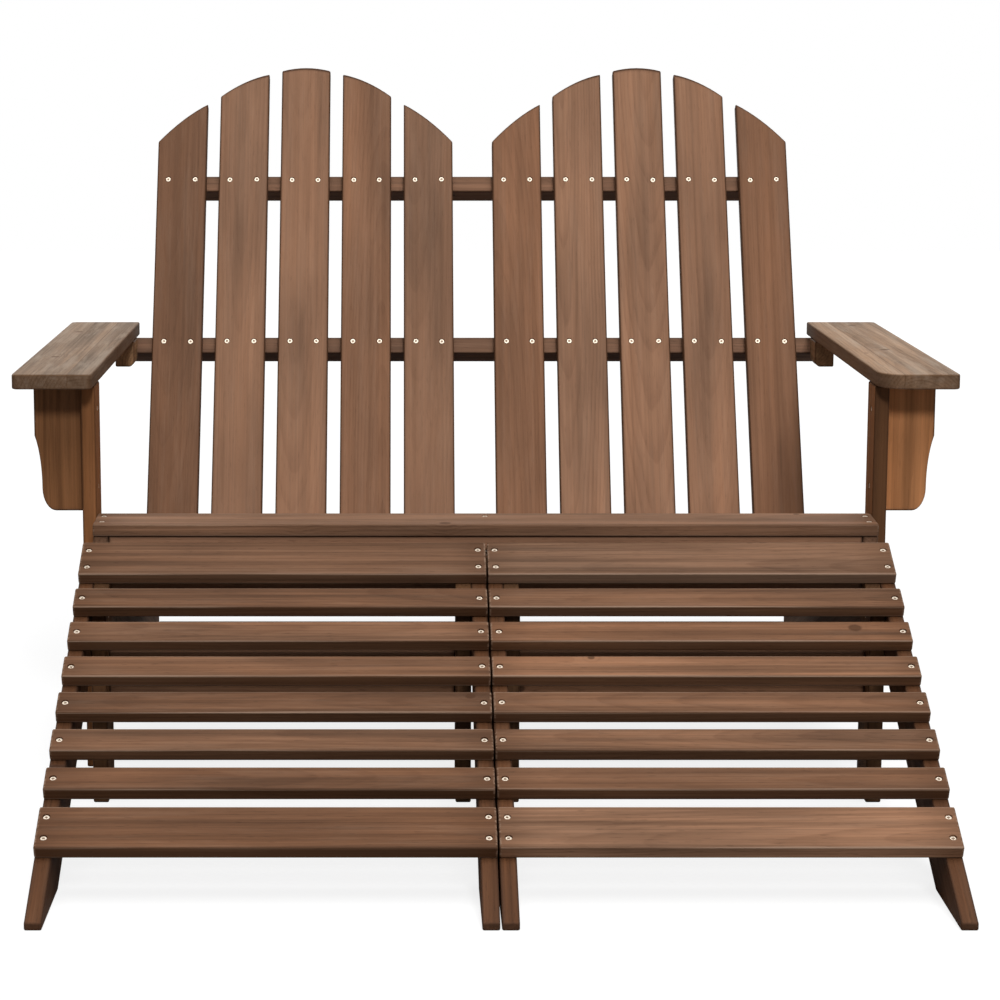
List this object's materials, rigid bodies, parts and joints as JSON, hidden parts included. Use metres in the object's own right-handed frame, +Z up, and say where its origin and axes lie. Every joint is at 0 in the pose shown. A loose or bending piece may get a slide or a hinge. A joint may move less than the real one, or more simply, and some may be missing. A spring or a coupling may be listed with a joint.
{
  "type": "adirondack loveseat",
  "caption": "Slatted garden loveseat in stained wood with a twin arched back, flat arms on shaped brackets and separate sloping footstools",
  "frame": {"origin": "on the floor, under the centre of the bounding box of the chair with both footstools docked", "axes": "+Z up, the front with the footstools faces -Y, +X to the right of someone looking at the front"},
  "size_m": [1.225, 1.5059, 0.9121],
  "materials": {
    "stained_slats": "brown stained softwood, satin",
    "weathered_arms": "brown stained softwood, worn grey on top",
    "stained_rails": "dark brown stained softwood, satin",
    "stained_legs": "warm brown stained softwood, satin"
  },
  "bodies": {
    "chair": {"stringer_left": "stained_rails", "stringer_right": "stained_rails", "stringer_centre": "stained_rails", "front_apron": "stained_rails", "rear_stretcher": "stained_rails", "back_foot_rail": "stained_rails", "front_leg_left": "stained_legs", "front_leg_right": "stained_legs", "arm_bracket_left": "stained_legs", "arm_bracket_right": "stained_legs", "arm_left": "weathered_arms", "arm_right": "weathered_arms", "arm_cleat_left": "stained_legs", "arm_cleat_right": "stained_legs", "crossbar_lower": "stained_rails", "crossbar_upper": "stained_rails", "back_slat_01": "stained_slats", "back_slat_02": "stained_slats", "back_slat_03": "stained_slats", "back_slat_04": "stained_slats", "back_slat_05": "stained_slats", "back_slat_06": "stained_slats", "back_slat_07": "stained_slats", "back_slat_08": "stained_slats", "back_slat_09": "stained_slats", "back_slat_10": "stained_slats", "seat_slat_1": "stained_slats", "seat_slat_2": "stained_slats", "seat_slat_3": "stained_slats", "seat_slat_4": "stained_slats", "seat_slat_5": "stained_slats", "seat_slat_6": "stained_slats"},
    "footstool_left": {"stool_left_rail_outer": "stained_rails", "stool_left_rail_inner": "stained_rails", "stool_left_leg_outer": "stained_rails", "stool_left_leg_inner": "stained_rails", "stool_left_stretcher": "stained_rails", "stool_left_slat_1": "stained_slats", "stool_left_slat_2": "stained_slats", "stool_left_slat_3": "stained_slats", "stool_left_slat_4": "stained_slats", "stool_left_slat_5": "stained_slats", "stool_left_slat_6": "stained_slats", "stool_left_slat_7": "stained_slats", "stool_left_slat_8": "stained_slats"},
    "footstool_right": {"stool_right_rail_outer": "stained_rails", "stool_right_rail_inner": "stained_rails", "stool_right_leg_outer": "stained_rails", "stool_right_leg_inner": "stained_rails", "stool_right_stretcher": "stained_rails", "stool_right_slat_1": "stained_slats", "stool_right_slat_2": "stained_slats", "stool_right_slat_3": "stained_slats", "stool_right_slat_4": "stained_slats", "stool_right_slat_5": "stained_slats", "stool_right_slat_6": "stained_slats", "stool_right_slat_7": "stained_slats", "stool_right_slat_8": "stained_slats"}
  },
  "joints": [
    {"name": "footstool_left_slide", "type": "slide", "parent": "chair", "child": "footstool_left", "axis": [0, -1, 0], "range_m": [0, 0.45]},
    {"name": "footstool_right_slide", "type": "slide", "parent": "chair", "child": "footstool_right", "axis": [0, -1, 0], "range_m": [0, 0.45]}
  ]
}
